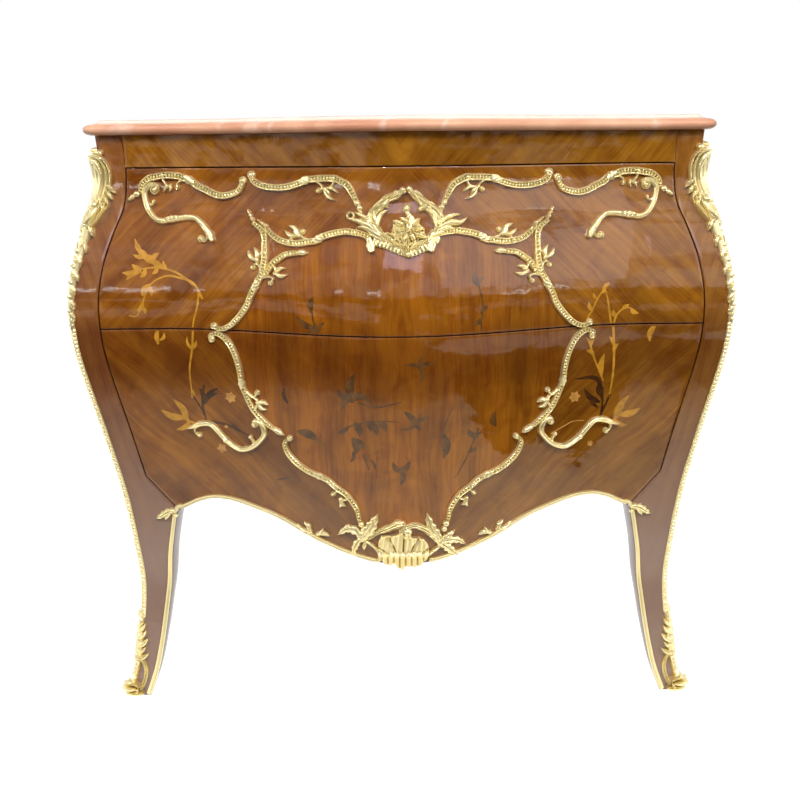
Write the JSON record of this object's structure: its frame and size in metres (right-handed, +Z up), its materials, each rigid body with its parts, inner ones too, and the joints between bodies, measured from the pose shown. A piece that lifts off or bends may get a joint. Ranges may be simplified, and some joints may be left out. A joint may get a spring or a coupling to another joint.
{
  "type": "commode chest",
  "caption": "Bombé commode chest with sliding drawers, a bowed veneered front, a scalloped apron, cabriole legs, a marble top and gilt mounts.",
  "frame": {"origin": "on the floor, under the middle of the chest's bounding box", "axes": "+X to the viewer's right when facing the drawers, +Y towards the back (the wall), +Z up"},
  "size_m": [1.062, 0.499, 0.9],
  "materials": {
    "veneer": "high-gloss polished veneer with marquetry",
    "carcass_wood": "bare planed softwood",
    "gilt_brass": "gilt cast brass",
    "marble": "polished pink marble"
  },
  "bodies": {
    "carcass": {"top_rail_front": "veneer", "top_rail_back": "carcass_wood", "back_panel": "carcass_wood", "top_board": "carcass_wood", "dust_board": "carcass_wood", "bottom_board": "carcass_wood", "marble_top": "marble", "stile_front_left": "veneer", "stile_front_right": "veneer", "stile_back_left": "veneer", "stile_back_right": "veneer", "side_panel_left": "veneer", "side_panel_right": "veneer", "chute_left": "gilt_brass", "chute_right": "gilt_brass", "corner_strip_left": "gilt_brass", "corner_strip_right": "gilt_brass", "sabot_front_left": "gilt_brass", "sabot_front_right": "gilt_brass", "sabot_back_left": "gilt_brass", "sabot_back_right": "gilt_brass", "leg_moulding_left": "gilt_brass", "leg_moulding_right": "gilt_brass", "drawer_guide_upper_left": "carcass_wood", "drawer_guide_upper_right": "carcass_wood", "drawer_guide_lower_left": "carcass_wood", "drawer_guide_lower_right": "carcass_wood"},
    "upper_drawer": {"upper_front": "veneer", "upper_side_left": "carcass_wood", "upper_side_right": "carcass_wood", "upper_back": "carcass_wood", "upper_bottom": "carcass_wood", "cartouche": "gilt_brass", "outer_scroll_left": "gilt_brass", "outer_scroll_right": "gilt_brass", "inner_scroll_left": "gilt_brass", "inner_scroll_right": "gilt_brass", "mid_scroll_left": "gilt_brass", "mid_scroll_right": "gilt_brass", "forked_scroll_left": "gilt_brass", "forked_scroll_right": "gilt_brass", "upper_pull_left": "gilt_brass", "upper_pull_right": "gilt_brass"},
    "lower_drawer": {"lower_front": "veneer", "lower_side_left": "carcass_wood", "lower_side_right": "carcass_wood", "lower_back": "carcass_wood", "lower_bottom": "carcass_wood", "shell_mount": "gilt_brass", "panel_scroll_left": "gilt_brass", "panel_scroll_right": "gilt_brass", "low_scroll_left": "gilt_brass", "low_scroll_right": "gilt_brass", "lower_pull_left": "gilt_brass", "lower_pull_right": "gilt_brass", "apron_moulding_left": "gilt_brass", "apron_moulding_right": "gilt_brass"}
  },
  "joints": [
    {"name": "upper_drawer_slide", "type": "slide", "parent": "carcass", "child": "upper_drawer", "axis": [0, -1, 0], "range_m": [0, 0.3]},
    {"name": "lower_drawer_slide", "type": "slide", "parent": "carcass", "child": "lower_drawer", "axis": [0, -1, 0], "range_m": [0, 0.3]}
  ]
}
